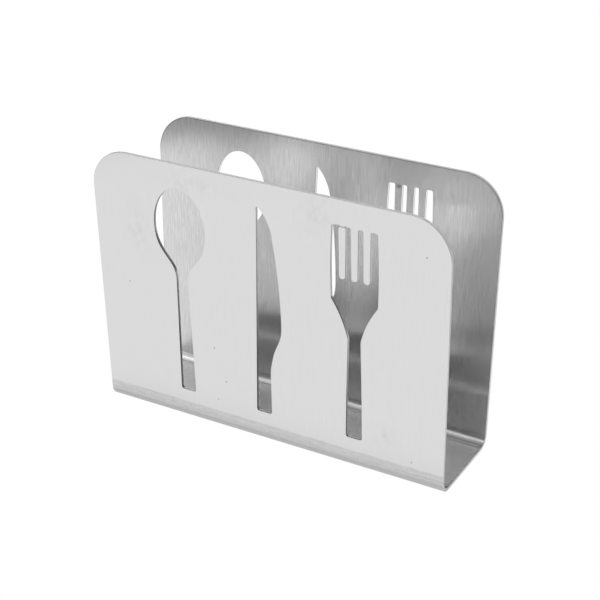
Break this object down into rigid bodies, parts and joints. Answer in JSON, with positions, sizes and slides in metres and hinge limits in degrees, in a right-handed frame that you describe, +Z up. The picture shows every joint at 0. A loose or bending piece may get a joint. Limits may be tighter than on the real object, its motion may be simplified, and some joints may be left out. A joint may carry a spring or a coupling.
{
  "type": "napkin dispenser",
  "caption": "Upright open-ended napkin holder folded from brushed steel sheet, with spoon, knife and fork shapes cut through its plates.",
  "frame": {"origin": "middle of the footprint, on the surface that the pads stand on", "axes": "+Z up, X along the width of the plates, -Y towards the front plate"},
  "size_m": [0.15, 0.0468, 0.112],
  "materials": {
    "sheet": "brushed along the unfolded sheet, so the grain stands upright on both plates",
    "pad": "satin silicone rubber"
  },
  "bodies": {
    "root": {"bent_sheet_body": "sheet", "front_left_pad": "pad", "front_right_pad": "pad", "rear_left_pad": "pad", "rear_right_pad": "pad"}
  },
  "joints": []
}
